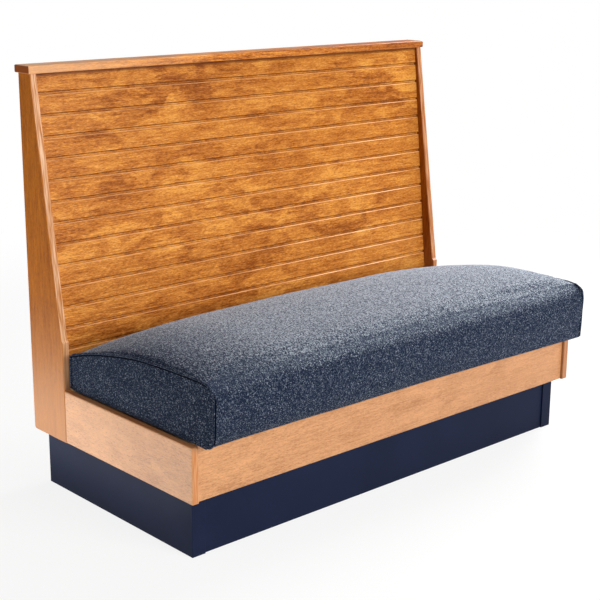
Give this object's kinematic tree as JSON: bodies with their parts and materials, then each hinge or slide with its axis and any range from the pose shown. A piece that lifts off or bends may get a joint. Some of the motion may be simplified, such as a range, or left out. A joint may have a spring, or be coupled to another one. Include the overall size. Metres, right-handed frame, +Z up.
{
  "type": "restaurant booth seat",
  "caption": "Single-sided restaurant booth bench: dark toe-kick base, wooden seat box, lift-off upholstered seat and a tall raked plywood back with horizontal channels under a cap.",
  "frame": {"origin": "centre of the overall footprint, on the floor", "axes": "+X along the seat, the sitter faces -Y, +Z up"},
  "size_m": [1.368, 0.723, 1.067],
  "materials": {
    "channelled_panel": "golden stained birch plywood under satin lacquer",
    "veneered_panels": "golden stained birch plywood under satin lacquer",
    "cap_wood": "golden stained solid birch under satin lacquer",
    "base_paint": "dark navy toe-kick coating, smooth and matt",
    "seat_tweed": "navy and grey woven tweed",
    "foam": "cut polyurethane foam",
    "plywood": "unfinished plywood",
    "softwood": "unfinished softwood",
    "zinc_steel": "zinc plated"
  },
  "bodies": {
    "booth": {"back_bolt_nuts": "zinc_steel", "back_bolt_washers": "zinc_steel", "back_bolts": "zinc_steel", "back_face_panel": "channelled_panel", "back_foot_rail": "plywood", "back_lower_rail": "plywood", "back_rear_panel": "plywood", "back_rib_1": "plywood", "back_rib_2": "plywood", "back_rib_3": "plywood", "back_rib_4": "plywood", "back_rib_5": "plywood", "back_side_left": "veneered_panels", "back_side_right": "veneered_panels", "back_top_rail": "plywood", "base_brace_1": "plywood", "base_brace_2": "plywood", "base_brace_3": "plywood", "base_corner_blocks": "softwood", "base_kick_board": "base_paint", "base_rear_rail": "base_paint", "base_screws": "zinc_steel", "base_side_left": "base_paint", "base_side_right": "base_paint", "cap_dowels": "softwood", "seat_cleat_front": "softwood", "seat_cleat_left": "softwood", "seat_cleat_rear": "softwood", "seat_cleat_right": "softwood", "seat_corner_blocks": "softwood", "seat_cross_rail_1": "plywood", "seat_cross_rail_2": "plywood", "seat_cross_rail_3": "plywood", "seat_front_board": "veneered_panels", "seat_rear_rail": "plywood", "seat_side_left": "veneered_panels", "seat_side_right": "veneered_panels", "top_cap": "cap_wood"},
    "seat": {"seat_cover": "seat_tweed", "seat_deck": "plywood", "seat_foam": "foam", "seat_locating_blocks": "softwood"}
  },
  "joints": [
    {"name": "seat_lift", "type": "slide", "parent": "booth", "child": "seat", "axis": [0, 0, 1], "range_m": [0, 0.82]}
  ]
}
